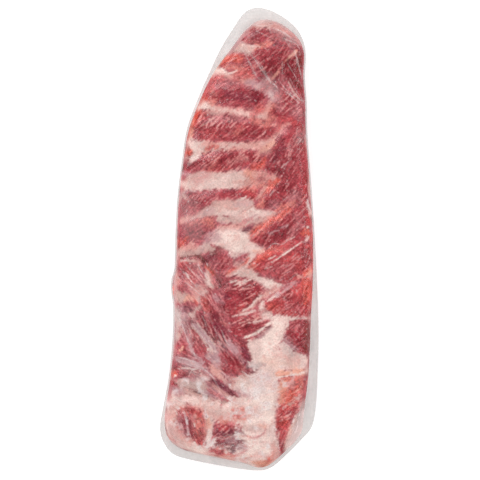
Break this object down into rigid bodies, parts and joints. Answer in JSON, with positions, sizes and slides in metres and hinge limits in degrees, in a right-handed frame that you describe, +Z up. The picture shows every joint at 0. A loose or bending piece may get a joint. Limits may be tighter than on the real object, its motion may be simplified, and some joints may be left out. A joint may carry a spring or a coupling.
{
  "type": "packed pork rib rack",
  "caption": "Raw trimmed pork rib slab lying meat side up, sealed in a tight clear film bag with a thin rim of doubled film all round",
  "frame": {"origin": "middle of the underside of the whole pack, on the surface it lies on", "axes": "+Y runs along the pack to its narrow end, +X points to the side with the large muscles, +Z is up out of the meat side"},
  "size_m": [0.127, 0.3712, 0.0334],
  "materials": {
    "film": "clear, glossy, faintly milky film",
    "meat": "raw muscle with pale seams of fat, moist"
  },
  "bodies": {
    "root": {"sealed_rack": "film"}
  },
  "joints": []
}
